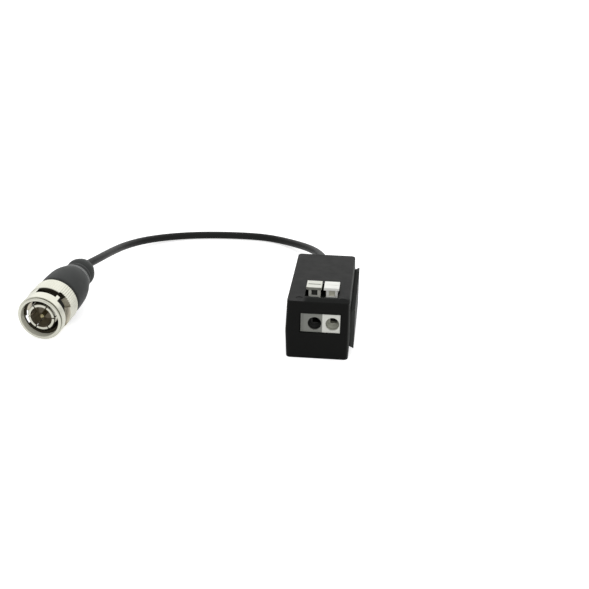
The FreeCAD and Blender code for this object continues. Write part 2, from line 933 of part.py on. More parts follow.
def centre_pin():
    shoulder = insulator_end + face_gap
    profile = [
        (pin_tip, 0),
        (pin_tip, contact_pin_radius * 0.45),
        (pin_tip + 0.35, contact_pin_radius),
        (shoulder, contact_pin_radius),
        (shoulder, pin_collar_radius),
        (pin_end, pin_collar_radius),
        (pin_end, 0),
    ]
    return revolve(profile)


def mating_gasket():
    inner = sleeve_outer_radius + insulator_clearance
    return tube(flange_front - gasket_thickness, flange_front, flange_radius - 0.05, inner)


def spring_washer():
    start = flange_front + flange_thickness
    rise = spring_washer_height - spring_washer_thickness
    return revolve([
        (start, washer_outer_radius),
        (start + spring_washer_thickness, washer_outer_radius),
        (start + rise + spring_washer_thickness, washer_inner_radius),
        (start + rise, washer_inner_radius),
    ])


def slip_washer():
    start = flange_front + flange_thickness + spring_washer_height
    return tube(start, start + slip_washer_thickness, washer_outer_radius, washer_inner_radius)


def retaining_clip():
    start = nut_length + clip_gap
    inner = sleeve_outer_radius - clip_groove_depth + clip_gap
    ring = tube(start + clip_gap, start + clip_gap + clip_thickness, clip_radius, inner)
    gap_base = Vector(0, 0, -start - 2 * clip_thickness)
    gap_piece = Part.makeCylinder(
        clip_radius + 1, clip_thickness * 3, gap_base, Vector(0, 0, 1), clip_opening,
    )
    return ring.cut(gap_piece)


def crimp_ferrule():
    inner = crimp_stem_radius + ferrule_clearance
    return tube(ferrule_start, ferrule_end, inner + ferrule_wall, inner)


def cable_plug_end():
    cut_back = crimp_stem_end + face_gap
    return revolve([
        (pin_end, 0),
        (pin_end, dielectric_radius),
        (cut_back, dielectric_radius),
        (cut_back, jacket_radius),
        (boot_end, jacket_radius),
        (boot_end, 0),
    ])


def boot_outline():
    """Outer line of the boot in the XZ plane: shoulder, light band, rings and rounded tip."""
    def at(station, radius):
        return Vector(radius, 0, -station)

    shoulder = [at(*pair) for pair in boot_shoulder]
    front_radius = boot_shoulder[0][1]
    turned_in = 0.3 * boot_front_round
    front_start = at(boot_start, front_radius - boot_front_round)
    front_middle = at(boot_start + turned_in, front_radius - turned_in)
    band_stop = at(boot_band_end, boot_shoulder[-1][1])
    rings = [at(*pair) for pair in boot_rings]
    edges = [Part.Arc(front_start, front_middle, shoulder[0]).toShape()]
    for start, middle, stop in zip(shoulder[0::2], shoulder[1::2], shoulder[2::2]):
        edges.append(Part.Arc(start, middle, stop).toShape())
    edges.append(Part.LineSegment(shoulder[-1], band_stop).toShape())
    edges.append(Part.LineSegment(band_stop, rings[0]).toShape())
    for valley, crest, after in zip(rings[0::2], rings[1::2], rings[2::2]):
        edges.append(Part.Arc(valley, crest, after).toShape())
    tip = at(boot_end, boot_tip_radius)
    last_station, last_radius = boot_rings[-1]
    middle_station = last_station + 0.8 * (boot_end - last_station)
    middle = at(middle_station, last_radius - 0.35 * (last_radius - boot_tip_radius))
    edges.append(Part.Arc(rings[-1], middle, tip).toShape())
    return edges


def plug_boot():
    cavity_front = sleeve_outer_radius + boot_cavity_clearance
    cavity_rear = crimp_stem_radius + ferrule_clearance + ferrule_wall + boot_cavity_clearance
    cable_hole = jacket_radius + bore_clearance
    inner_points = [
        (boot_end, boot_tip_radius),
        (boot_end, cable_hole),
        (ferrule_end + face_gap, cable_hole),
        (ferrule_end + face_gap, cavity_rear),
        (barrel_end + face_gap, cavity_rear),
        (barrel_end + face_gap, cavity_front),
        (boot_start, cavity_front),
        (boot_start, boot_shoulder[0][1] - boot_front_round),
    ]
    inner = Part.makePolygon([Vector(radius, 0, -station) for station, radius in inner_points])
    face = Part.Face(Part.Wire(boot_outline() + inner.Edges))
    return face.revolve(Vector(0, 0, 0), Vector(0, 0, 1), 360)


def coax_cord():
    points = [Vector(lead_x, bushing_end, exit_height)]
    points.append(Vector(lead_x, bushing_end + cord_first_run, exit_height))
    points += [Vector(*p) for p in cord_route]
    points += [plug_point(boot_end + cord_lead_in), plug_point(boot_end)]
    edges, radii = tangent_path(points)
    direction = edges[0].tangentAt(edges[0].FirstParameter)
    circle = Part.Wire(Part.makeCircle(jacket_radius, points[0], direction))
    solid = sweep(circle, edges)
    length = sum(e.Length for e in edges)
    expected = math.pi * jacket_radius ** 2 * length
    print("cord radii:", ", ".join("%.1f" % r for r in radii))
    print("cord length %.1f, volume %.1f, section times length %.1f" % (length, solid.Volume, expected))
    return solid


# Write one file for each piece

os.makedirs("parts", exist_ok=True)

save(upper_shell(), "upper_shell")
save(lower_shell(), "lower_shell")
save(circuit_board(), "circuit_board")
save(transformer_core(), "transformer_core")
save(transformer_winding(), "transformer_winding")
save(surge_arrester(), "surge_arrester")
save(suppressor(), "surge_suppressor")
save(chip_parts(), "chip_parts")

save(terminal_end_cover(), "terminal_end_cover")
for pole_name, pole_x in zip(pole_names, module_centres):
    save(terminal_body(pole_x), "terminal_body_" + pole_name)
    save(button(pole_x), "button_" + pole_name)
    save(contact_bar(pole_x), "contact_bar_" + pole_name)
    save(clamp_spring(pole_x), "clamp_spring_" + pole_name)

save(cable_bushing(), "cable_bushing")
save(cable_end(), "cable_end")
save(centre_lead(), "centre_lead")
save(braid_lead(), "braid_lead")
save(coax_cord(), "coax_cord")

plug_pieces = {
    "coupling_nut": coupling_nut,
    "plug_body": plug_body,
    "plug_insulator": insulator,
    "centre_pin": centre_pin,
    "mating_gasket": mating_gasket,
    "spring_washer": spring_washer,
    "slip_washer": slip_washer,
    "retaining_clip": retaining_clip,
    "crimp_ferrule": crimp_ferrule,
    "cable_plug_end": cable_plug_end,
    "plug_boot": plug_boot,
}
for node_name, make_piece in plug_pieces.items():
    save(place_on_plug(make_piece()), node_name)

print("plug axis", plug_axis(), "lip centre", plug_point(0), "boot end", plug_point(boot_end))
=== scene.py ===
import math

import bmesh
import bpy
from mathutils import Matrix, Vector


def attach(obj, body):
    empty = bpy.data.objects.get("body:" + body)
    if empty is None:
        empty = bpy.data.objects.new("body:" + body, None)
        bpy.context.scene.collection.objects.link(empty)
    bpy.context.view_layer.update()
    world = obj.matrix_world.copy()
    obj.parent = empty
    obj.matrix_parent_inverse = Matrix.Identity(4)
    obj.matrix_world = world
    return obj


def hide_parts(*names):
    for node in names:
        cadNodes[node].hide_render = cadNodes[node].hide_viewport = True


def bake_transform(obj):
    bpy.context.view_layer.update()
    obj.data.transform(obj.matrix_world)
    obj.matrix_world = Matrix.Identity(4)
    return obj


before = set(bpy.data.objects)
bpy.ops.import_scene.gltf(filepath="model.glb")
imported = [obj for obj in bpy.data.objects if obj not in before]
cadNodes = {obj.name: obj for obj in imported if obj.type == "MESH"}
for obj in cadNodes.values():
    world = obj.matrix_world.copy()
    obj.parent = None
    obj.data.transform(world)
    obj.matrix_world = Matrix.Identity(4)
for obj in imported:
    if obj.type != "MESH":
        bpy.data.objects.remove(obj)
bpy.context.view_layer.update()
print("frame loaded:", len(cadNodes), "pieces")


# view and render settings

view = {  # metres and degrees, fitted to the photo
    "focalPixels": 1100.0,
    "framePixels": 589.0,
    "position": (0.017409, -0.302407, 0.138994),
    "yaw": -4.867,
    "lookDown": 22.798,
    "roll": 1.191,
    "nudge": (0.0, 0.0007),  # shift of the lens
    "sensorWidth": 36.0,
    "clipFrom": 0.01,
    "clipTo": 20.0,
}


def placeCamera():
    yaw, down, roll = (math.radians(view[key]) for key in ("yaw", "lookDown", "roll"))
    flat = math.cos(down)
    forward = Vector((math.sin(yaw) * flat, math.cos(yaw) * flat, -math.sin(down)))
    level = Vector((math.cos(yaw), -math.sin(yaw), 0.0))
    upright = level.cross(forward)
    right = level * math.cos(roll) + upright * math.sin(roll)
    up = upright * math.cos(roll) - level * math.sin(roll)
    lens = bpy.data.cameras.new("photoCamera")
    lens.sensor_width = view["sensorWidth"]
    lens.lens = view["sensorWidth"] * view["focalPixels"] / view["framePixels"]
    lens.clip_start = view["clipFrom"]
    lens.clip_end = view["clipTo"]
    lens.shift_x, lens.shift_y = view["nudge"]
    camera = bpy.data.objects.new("photoCamera", lens)
    turn = Matrix((right, up, -forward)).transposed().to_4x4()
    camera.matrix_world = Matrix.Translation(view["position"]) @ turn
    bpy.context.scene.collection.objects.link(camera)
    bpy.context.scene.camera = camera


placeCamera()
bpy.context.scene.view_settings.view_transform = "Standard"


# the lead lies where its solid lies; the route holds its control points, in metres

cable = {
    "diameter": 0.0026,
    "length": 0.1596,
    "roundness": 6,
    "fineness": 14,
    "route": (
        (0.0004, 0.02345, 0.00825),
        (0.0004, 0.03025, 0.00825),
        (-0.0013, 0.04055, 0.0069),
        (-0.0060, 0.05825, 0.0043),
        (-0.0182, 0.07405, 0.00135),
        (-0.0286, 0.07765, 0.00135),
        (-0.0456, 0.07695, 0.00135),
        (-0.0588, 0.07355, 0.00135),
        (-0.0684, 0.06525, 0.0023),
        (-0.0730, 0.05525, 0.0037),
        (-0.0745, 0.04525, 0.0055),
        (-0.0751, 0.03475, 0.0076),
        (-0.0759, 0.02635, 0.00895),
        (-0.077009, 0.020363, 0.0097785),
        (-0.0774058, 0.0167949, 0.0095117),
    ),
}


def layCable():
    line = bpy.data.curves.new("coaxLead", "CURVE")
    line.dimensions = "3D"
    line.bevel_depth = 1.0  # each point's radius then is the lead's own
    line.bevel_resolution = cable["roundness"]
    line.resolution_u = cable["fineness"]
    spline = line.splines.new("NURBS")
    spline.points.add(len(cable["route"]) - 1)
    for point, place in zip(spline.points, cable["route"]):
        point.co = (*place, 1.0)
        point.radius = cable["diameter"] / 2
    spline.order_u = 3
    spline.use_endpoint_u = True
    lead = bpy.data.objects.new("coaxLead", line)
    bpy.context.scene.collection.objects.link(lead)
    return lead


coaxLead = layCable()
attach(coaxLead, "housing")
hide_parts("coax_cord")
print("lead laid")


# finishes

def blankMaterial(name):
    material = bpy.data.materials.new(name)
    material.use_nodes = True
    tree = material.node_tree
    shader = next(n for n in tree.nodes if n.type == "BSDF_PRINCIPLED")
    return material, tree, shader


def tinted(tree, shader, factor, dark, light):
    ramp = tree.nodes.new("ShaderNodeValToRGB")
    ramp.color_ramp.elements[0].color = (*dark, 1.0)
    ramp.color_ramp.elements[1].color = (*light, 1.0)
    tree.links.new(factor, ramp.inputs["Fac"])
    tree.links.new(ramp.outputs["Color"], shader.inputs["Base Color"])


def noise(tree, scale, detail=3.0):
    place = tree.nodes.new("ShaderNodeTexCoord")
    texture = tree.nodes.new("ShaderNodeTexNoise")
    texture.inputs["Scale"].default_value = scale
    texture.inputs["Detail"].default_value = detail
    tree.links.new(place.outputs["Object"], texture.inputs["Vector"])
    return texture.outputs["Fac"]


def bumped(tree, shader, height, strength, distance):
    bump = tree.nodes.new("ShaderNodeBump")
    bump.inputs["Strength"].default_value = strength
    bump.inputs["Distance"].default_value = distance
    tree.links.new(height, bump.inputs["Height"])
    tree.links.new(bump.outputs["Normal"], shader.inputs["Normal"])


def roughened(tree, shader, factor, low, high):
    spread = tree.nodes.new("ShaderNodeMapRange")
    spread.inputs["To Min"].default_value = low
    spread.inputs["To Max"].default_value = high
    tree.links.new(factor, spread.inputs["Value"])
    tree.links.new(spread.outputs["Result"], shader.inputs["Roughness"])


# dark and light: the two ends of the tint; rough: its range; gloss: the specular level;
# grain, depth and strength: the surface's fine bump; the tints along an axis paint light and shade
plastics = {
    "housingBlack": {
        "dark": (0.003, 0.0031, 0.0029), "light": (0.0055, 0.0057, 0.0052), "rough": (0.44, 0.58),
        "gloss": 0.068, "grain": 2600.0, "depth": 0.00002, "strength": 0.35,
        "paintedLightShifts": (
            ("X", 0.00845, 0.0089, (0.038, 0.0395, 0.037)),  # painted highlight along the roof's right edge
            ("X", 0.00914, 0.00921, (0.0043, 0.0044, 0.0041)),  # right wall
            ("X", 0.00923, 0.00932, (0.040, 0.042, 0.040)),  # painted light on the rail
            ("X", 0.01020, 0.01033, (0.006, 0.0063, 0.006)),  # rail's outer face
        ),
        # painted shade on the roof's strip in front of the buttons
        "matte": {
            "X": (-0.0046, -0.0030), "Y": (-0.0150, -0.0170), "Z": (0.0172, 0.0175),
            "tint": (0.0105, 0.011, 0.0105), "rough": 1.0,
        },
    },
    "terminalGrey": {
        "dark": (0.165, 0.17, 0.155), "light": (0.205, 0.21, 0.19), "rough": (0.38, 0.5),
        "gloss": 0.25, "grain": 1800.0, "depth": 0.00001, "strength": 0.2,
        "paintedLightShifts": (("Y", -0.0189, -0.0182, (0.012, 0.013, 0.012)),),  # painted shade inside the wire entry
    },
    "terminalWhite": {
        "dark": (0.60, 0.605, 0.56), "light": (0.655, 0.66, 0.615), "rough": (0.36, 0.48),
        "gloss": 0.25, "grain": 1800.0, "depth": 0.00001, "strength": 0.2,
        "paintedLightShifts": (("Y", -0.0189, -0.0180, (0.33, 0.335, 0.285)),),  # painted shade inside the wire entry
    },
    "leadJacket": {
        "dark": (0.0072, 0.0077, 0.0071), "light": (0.0122, 0.0127, 0.0118), "rough": (0.36, 0.5),
        "gloss": 0.10, "grain": 1500.0, "depth": 0.00001, "strength": 0.25,
    },
    "bootRubber": {
        "dark": (0.033, 0.0352, 0.0342), "light": (0.0475, 0.050, 0.049), "rough": (0.5, 0.62),
        "gloss": 0.10, "grain": 1800.0, "depth": 0.00001, "strength": 0.25,
    },
    # painted highlight on the band at the end of the boot's shoulder
    "bootBandHighlight": {
        "dark": (0.145, 0.15, 0.147), "light": (0.185, 0.19, 0.187), "rough": (0.4, 0.5),
        "gloss": 0.3, "grain": 1800.0, "depth": 0.00001, "strength": 0.2,
    },
    "buttonGrey": {
        "dark": (0.69, 0.695, 0.625), "light": (0.76, 0.765, 0.695), "rough": (0.4, 0.52),
        "gloss": 0.25, "grain": 1800.0, "depth": 0.00001, "strength": 0.2,
    },
    "buttonWhite": {
        "dark": (0.85, 0.85, 0.81), "light": (0.91, 0.91, 0.87), "rough": (0.4, 0.52),
        "gloss": 0.2, "grain": 1800.0, "depth": 0.00001, "strength": 0.2,
    },
    # painted shade for the grey button's driver slot and the front of its pad
    "greyButtonShade": {
        "dark": (0.20, 0.20, 0.175), "light": (0.26, 0.26, 0.23), "rough": (0.5, 0.6),
        "gloss": 0.2, "grain": 1800.0, "depth": 0.00001, "strength": 0.2,
    },
    # painted shade in the grey stem's pocket
    "pocketGreyShade": {
        "dark": (0.035, 0.036, 0.033), "light": (0.055, 0.056, 0.05), "rough": (0.5, 0.6),
        "gloss": 0.2, "grain": 1800.0, "depth": 0.00001, "strength": 0.2,
    },
    # painted shade in the white stem's pocket
    "pocketWhiteShade": {
        "dark": (0.62, 0.61, 0.52), "light": (0.70, 0.69, 0.60), "rough": (0.5, 0.6),
        "gloss": 0.2, "grain": 1800.0, "depth": 0.00001, "strength": 0.2,
    },
    "stemGrey": {
        "dark": (0.55, 0.55, 0.50), "light": (0.64, 0.64, 0.59), "rough": (0.45, 0.55),
        "gloss": 0.2, "grain": 1800.0, "depth": 0.00001, "strength": 0.2,
    },
    "gasketRubber": {
        "dark": (0.02, 0.02, 0.02), "light": (0.03, 0.03, 0.03), "rough": (0.55, 0.7),
        "gloss": 0.25, "grain": 1200.0, "depth": 0.00001, "strength": 0.3,
    },
    "insulatorDark": {
        "dark": (0.25, 0.22, 0.16), "light": (0.34, 0.305, 0.235), "rough": (0.4, 0.5),
        "gloss": 0.35, "grain": 1200.0, "depth": 0.00001, "strength": 0.2,
    },
    "boardGreen": {
        "dark": (0.012, 0.07, 0.028), "light": (0.02, 0.11, 0.045), "rough": (0.35, 0.5),
        "gloss": 0.4, "grain": 900.0, "depth": 0.00001, "strength": 0.2,
    },
    "chipBlack": {
        "dark": (0.015, 0.015, 0.016), "light": (0.03, 0.03, 0.032), "rough": (0.45, 0.6),
        "gloss": 0.35, "grain": 2000.0, "depth": 0.00001, "strength": 0.3,
    },
    "ferriteGrey": {
        "dark": (0.03, 0.03, 0.033), "light": (0.055, 0.055, 0.06), "rough": (0.55, 0.75),
        "gloss": 0.3, "grain": 1500.0, "depth": 0.00003, "strength": 0.5,
    },
}

plasticPatches = {"tint": 180.0, "rough": 420.0}  # how fine the changes of tint and roughness are


def placeParts(tree):
    place = tree.nodes.new("ShaderNodeNewGeometry")
    split = tree.nodes.new("ShaderNodeSeparateXYZ")
    tree.links.new(place.outputs["Position"], split.inputs["Vector"])
    return split


def reachedAlong(tree, value, limits, curve="LINEAR"):
    reach = tree.nodes.new("ShaderNodeMapRange")
    reach.interpolation_type = curve
    reach.inputs["From Min"].default_value, reach.inputs["From Max"].default_value = limits
    tree.links.new(value, reach.inputs["Value"])
    return reach.outputs["Result"]


def blendedTint(tree, shader, mask, tint):
    blend = tree.nodes.new("ShaderNodeMix")
    blend.data_type = "RGBA"
    colourIn = [socket for socket in blend.inputs if socket.type == "RGBA"]
    colourOut = next(socket for socket in blend.outputs if socket.type == "RGBA")
    before = shader.inputs["Base Color"].links[0].from_socket
    tree.links.new(mask, blend.inputs[0])
    tree.links.new(before, colourIn[0])
    colourIn[1].default_value = (*tint, 1.0)
    tree.links.new(colourOut, shader.inputs["Base Color"])


# blends the base colour to another one along one axis of the frame, from start to stop, to paint light and
# shade
def paintLightAlong(tree, shader, axis, start, stop, tint):
    split = placeParts(tree)
    blendedTint(tree, shader, reachedAlong(tree, split.outputs[axis], (start, stop)), tint)


# painted shade: the strip of the roof between the buttons and the front face is made darker and duller, where
# the buttons shade it
def paintStripShade(tree, shader, facts):
    split = placeParts(tree)
    mask = None
    for axis in ("X", "Y", "Z"):
        reached = reachedAlong(tree, split.outputs[axis], facts[axis], "SMOOTHSTEP")
        if mask is None:
            mask = reached
            continue
        both = tree.nodes.new("ShaderNodeMath")
        both.operation = "MULTIPLY"
        tree.links.new(mask, both.inputs[0])
        tree.links.new(reached, both.inputs[1])
        mask = both.outputs[0]
    blendedTint(tree, shader, mask, facts["tint"])
    duller = tree.nodes.new("ShaderNodeMapRange")
    duller.inputs["To Max"].default_value = facts["rough"]
    rough = shader.inputs["Roughness"].links[0].from_socket
    tree.links.new(rough, duller.inputs["To Min"])
    tree.links.new(mask, duller.inputs["Value"])
    tree.links.new(duller.outputs["Result"], shader.inputs["Roughness"])


def plastic(name):
    facts = plastics[name]
    material, tree, shader = blankMaterial(name)
    tinted(tree, shader, noise(tree, plasticPatches["tint"]), facts["dark"], facts["light"])
    shader.inputs["Specular IOR Level"].default_value = facts["gloss"]
    roughened(tree, shader, noise(tree, plasticPatches["rough"]), *facts["rough"])
    if "matte" in facts:
        paintStripShade(tree, shader, facts["matte"])
    for shift in facts.get("paintedLightShifts", ()):
        paintLightAlong(tree, shader, *shift)
    bumped(tree, shader, noise(tree, facts["grain"]), facts["strength"], facts["depth"])
    return material


metals = {
    "nickelPlate": {"dark": (0.47, 0.47, 0.40), "light": (0.565, 0.56, 0.49), "rough": (0.30, 0.42)},
    # painted deep shade for the nut's bore and its darker slot walls
    "nickelDeepShade": {"dark": (0.025, 0.022, 0.015), "light": (0.05, 0.045, 0.032), "rough": (0.4, 0.55)},
    # painted light on the wall of the nut's mouth
    "nickelLitMouth": {
        "dark": (0.60, 0.59, 0.50), "light": (0.70, 0.69, 0.60), "rough": (0.45, 0.55),
        "metallic": 0.35,
    },
    "nickelShaded": {"dark": (0.40, 0.37, 0.30), "light": (0.50, 0.47, 0.39), "rough": (0.4, 0.5)},
    "springSteel": {"dark": (0.42, 0.42, 0.42), "light": (0.58, 0.58, 0.57), "rough": (0.28, 0.4)},
    "goldPlate": {"dark": (0.22, 0.19, 0.10), "light": (0.29, 0.26, 0.15), "rough": (0.3, 0.4)},
    "contactBrass": {"dark": (0.55, 0.42, 0.2), "light": (0.7, 0.56, 0.3), "rough": (0.28, 0.4)},
    "copperWire": {"dark": (0.42, 0.12, 0.04), "light": (0.62, 0.22, 0.09), "rough": (0.3, 0.42)},
}

metalPatches = {"tint": 260.0, "rough": 700.0, "grain": 900.0, "strength": 0.15, "depth": 0.000006}


def metal(name):
    facts = metals[name]
    material, tree, shader = blankMaterial(name)
    shader.inputs["Metallic"].default_value = facts.get("metallic", 1.0)
    tinted(tree, shader, noise(tree, metalPatches["tint"]), facts["dark"], facts["light"])
    roughened(tree, shader, noise(tree, metalPatches["rough"]), *facts["rough"])
    bumped(tree, shader, noise(tree, metalPatches["grain"]), metalPatches["strength"], metalPatches["depth"])
    return material


finishes = {name: plastic(name) for name in plastics}
finishes.update({name: metal(name) for name in metals})

nodeFinish = {
    "upper_shell": "housingBlack",
    "lower_shell": "housingBlack",
    "circuit_board": "boardGreen",
    "transformer_core": "ferriteGrey",
    "transformer_winding": "copperWire",
    "surge_arrester": "springSteel",
    "surge_suppressor": "chipBlack",
    "chip_parts": "chipBlack",
    "terminal_body_grey": "terminalGrey",
    "terminal_body_white": "terminalWhite",
    "terminal_end_cover": "terminalGrey",
    "button_grey": "buttonGrey",
    "button_white": "buttonWhite",
    "contact_bar_grey": "contactBrass",
    "contact_bar_white": "contactBrass",
    "clamp_spring_grey": "springSteel",
    "clamp_spring_white": "springSteel",
    "cable_bushing": "leadJacket",
    "cable_end": "leadJacket",
    "centre_lead": "copperWire",
    "braid_lead": "copperWire",
    "cable_plug_end": "leadJacket",
    "coupling_nut": "nickelPlate",
    "plug_body": "nickelPlate",
    "plug_insulator": "insulatorDark",
    "centre_pin": "goldPlate",
    "mating_gasket": "gasketRubber",
    "spring_washer": "springSteel",
    "slip_washer": "springSteel",
    "retaining_clip": "springSteel",
    "crimp_ferrule": "nickelPlate",
    "plug_boot": "bootRubber",
}


def dress(piece, name):
    if not piece.material_slots:
        piece.data.materials.append(finishes[name])
    for entry in piece.material_slots:
        entry.material = finishes[name]


for nodeName, finishName in nodeFinish.items():
    dress(cadNodes[nodeName], finishName)
dress(coaxLead, "leadJacket")
print("finishes applied")


# mesh helpers

# each face is (corners, number of its finish); edges over sharpAbove degrees get the bevel,
# or stay sharp where there is none
def addPiece(name, points, faces, finishNames, bevelWidth=0.0, sharpAbove=50.0):
    mesh = bpy.data.meshes.new(name)
    mesh.from_pydata(points, [], [entry[0] for entry in faces])
    for finish in finishNames:
        mesh.materials.append(finishes[finish])
    for polygon, entry in zip(mesh.polygons, faces):
        polygon.material_index = entry[1]
        polygon.use_smooth = True
    shape = bmesh.new()  # every face looks outwards
    shape.from_mesh(mesh)
    bmesh.ops.recalc_face_normals(shape, faces=shape.faces)
    shape.to_mesh(mesh)
    shape.free()
    mesh.update()
    piece = bpy.data.objects.new(name, mesh)
    bpy.context.scene.collection.objects.link(piece)
    if bevelWidth:
        bevel = piece.modifiers.new("softEdges", "BEVEL")
        bevel.width = bevelWidth
        bevel.segments = 2
        bevel.limit_method = "ANGLE"
        bevel.angle_limit = math.radians(sharpAbove)
        bevel.harden_normals = True
    else:
        mesh.set_sharp_from_angle(angle=math.radians(sharpAbove))
    return piece


# the plug stands on its own axis, the mouth towards +Z, and is then laid in its place

plug = {  # metres and degrees
    "lipCentre": (-0.0812, -0.0173, 0.0069624),
    "turn": -6.35,
    "tilt": -4.25,
}


def plugPlace():
    turn, tilt = math.radians(plug["turn"]), math.radians(plug["tilt"])
    axis = Vector((math.sin(turn) * math.cos(tilt), -math.cos(turn) * math.cos(tilt), math.sin(tilt)))
    across = Vector((-axis.y, axis.x, 0.0)).normalized()
    up = axis.cross(across)
    return Matrix.Translation(plug["lipCentre"]) @ Matrix((across, up, axis)).transposed().to_4x4()


def onPlug(points):
    place = plugPlace()
    return [tuple(place @ Vector(point)) for point in points]


def ringPoint(station, radius, degrees):
    angle = math.radians(degrees)
    return (radius * math.cos(angle) / 1000, radius * math.sin(angle) / 1000, -station / 1000)


# closed lathe of rings (station, radius, finish), in millimetres; a station is the distance
# behind the lip; cells named by cutOut are left open
def turned(rings, steps, cutOut=None, radiusAt=None):
    points, faces, gaps = [], [], set()
    count = len(rings)
    for number, (station, radius, _) in enumerate(rings):
        for step in range(steps):
            degrees = 360.0 * step / steps
            points.append(ringPoint(station, radiusAt(number, degrees) if radiusAt else radius, degrees))
    for number in range(count):
        following = (number + 1) % count
        for step in range(steps):
            beside = (step + 1) % steps
            if cutOut and cutOut(number, following, step):
                gaps.add((number, step))
                continue
            near, far = number * steps, following * steps
            faces.append(((near + step, near + beside, far + beside, far + step), rings[number][2]))
    return points, faces, gaps


# coupling nut with its two cam slots, lip, groove, knurl and mouth

nut = {
    "steps": 240,
    "outside": (  # station and radius, from the lip to the rear
        (-0.4, 6.35), (-0.2, 6.55), (0.0, 6.55), (0.02, 6.3), (0.25, 6.3), (0.27, 6.95), (2.4, 6.95),
        (3.4, 6.95), (4.7, 6.95), (6.15, 6.95), (6.3, 7.1), (6.75, 7.1), (11.3, 7.1), (11.5, 7.1),
        (11.8, 6.8),
    ),
    "inside": (  # and back to the mouth
        (11.8, 4.18), (10.35, 4.18), (10.35, 5.1), (6.75, 5.1), (6.3, 5.1), (6.15, 5.1), (4.7, 5.1),
        (3.4, 5.1), (2.4, 5.1), (1.72, 5.1), (1.7, 5.8), (-0.4, 5.8),
    ),
    "slots": (  # from and to in degrees, from and to in stations
        (-40.5, 46.5, 2.4, 6.15), (46.5, 55.5, 4.7, 6.15), (55.5, 108.0, 3.4, 6.15), (10.5, 55.5, 6.15, 6.75),
    ),
    "slotStart": -60.0,  # an angle before the slots, where the count of degrees starts
    "slotSpan": (2.3, 6.8),
    "shortStep": 0.1,  # rings closer than this are never cut
    "shadedBeyond": 37.0,  # slot walls past this angle, or in front of this station, get the painted deep shade; the others a lighter painted shade
    "shadedFront": 4.0,
    "knurlSpan": (6.4, 11.4),
    "knurlRadius": 7.1,
    "knurlDepth": 0.16,
    "knurlTurn": 1.5,
    "knurlTooth": (1.0, 0.2, 0.0, 0.2),
    "boreRadius": 5.1,
    "grooveTurn": (6.0, 34.5),
    "grooveSpan": (1.5, 2.5),
    "grooveRadius": 5.75,
    "softEdge": 0.00009,
}


def inSlot(degrees, station):
    for turn in (0.0, 180.0):
        local = (degrees - turn - nut["slotStart"]) % 360.0 + nut["slotStart"]
        for low, high, front, rear in nut["slots"]:
            if low < local < high and front < station < rear:
                return True
    return False


def buildNut():
    steps = nut["steps"]
    outside, inside = nut["outside"], nut["inside"]
    # the nut's finishes: plating; the bore in painted deep shade; a lighter painted shade; the mouth's wall
    # in painted light
    plated, bore, shaded, mouth = range(4)
    rings = [(s, r, plated) for s, r in outside] + [(s, r, bore) for s, r in inside]
    rings[-1] = (*inside[-1], plated)  # front of the lip
    rings[-2] = (*inside[-2], mouth)  # wall of the mouth, in painted light

    def radiusAt(number, degrees):
        station, radius, _ = rings[number]
        if radius == nut["knurlRadius"] and nut["knurlSpan"][0] < station < nut["knurlSpan"][1]:
            phase = round(degrees / nut["knurlTurn"]) % len(nut["knurlTooth"])
            return radius - nut["knurlDepth"] * nut["knurlTooth"][phase]
        inGroove = nut["grooveTurn"][0] < degrees % 180.0 < nut["grooveTurn"][1]
        if radius == nut["boreRadius"] and nut["grooveSpan"][0] < station < nut["grooveSpan"][1] and inGroove:
            return nut["grooveRadius"]
        return radius

    def cutOut(number, following, step):
        first, second = rings[number][0], rings[following][0]
        apart = abs(first - second) > nut["shortStep"]
        return apart and inSlot(360.0 * (step + 0.5) / steps, (first + second) / 2)

    points, faces, gaps = turned(rings, steps, cutOut, radiusAt)
    partner = {}  # the ring of the bore at the same station as a ring outside
    for number, (station, _, _) in enumerate(rings):
        if number < len(outside) and nut["slotSpan"][0] < station < nut["slotSpan"][1]:
            partner[number] = next(
                other for other in range(len(outside), len(rings)) if rings[other][0] == station
            )

    # side of a slot, from the outside to the bore, in painted shade
    def wall(numberA, stepA, numberB, stepB):
        corners = (numberA * steps + stepA, numberB * steps + stepB,
                   partner[numberB] * steps + stepB, partner[numberA] * steps + stepA)
        local = (360.0 * stepA / steps - nut["slotStart"]) % 180.0 + nut["slotStart"]
        front = rings[numberA][0] < nut["shadedFront"] and rings[numberB][0] < nut["shadedFront"]
        faces.append((corners, bore if local > nut["shadedBeyond"] or front else shaded))

    for number, step in gaps:
        if number >= len(outside):
            continue
        beside = (step + 1) % steps
        if (number, (step - 1) % steps) not in gaps:
            wall(number, step, number + 1, step)
        if (number, beside) not in gaps:
            wall(number + 1, beside, number, beside)
        if (number - 1, step) not in gaps:
            wall(number, beside, number, step)
        if (number + 1, step) not in gaps:
            wall(number + 1, step, number + 1, beside)
    metalsUsed = ("nickelPlate", "nickelDeepShade", "nickelShaded", "nickelLitMouth")
    piece = addPiece("nutShell", onPlug(points), faces, metalsUsed, nut["softEdge"])
    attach(piece, "nut")
    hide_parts("coupling_nut")
    return piece


nutShell = buildNut()
print("nut built")


# plug body with its slotted contact sleeve

plugCore = {
    "steps": 144,
    "rings": (  # station, radius and finish
        (0.75, 3.3, 0), (0.75, 4.0, 0), (0.9, 4.1, 0), (5.4, 4.1, 0), (7.6, 4.1, 0), (7.6, 4.95, 0),
        (8.8, 4.95, 0), (8.8, 4.1, 0), (11.8, 4.1, 0), (11.8, 3.6, 0), (12.4, 3.6, 0), (12.4, 4.1, 0),
        (13.8, 4.1, 0), (13.8, 2.5, 0), (21.0, 2.5, 0), (21.0, 1.7, 0), (12.02, 1.7, 0), (12.02, 3.3, 1),
        (5.4, 3.3, 1),
    ),
    "slitRings": 3,  # the slits run from the mouth to this ring
    "slitCount": 6,
    "slitHalfTurn": 2.5,
    "softEdge": 0.00008,
}


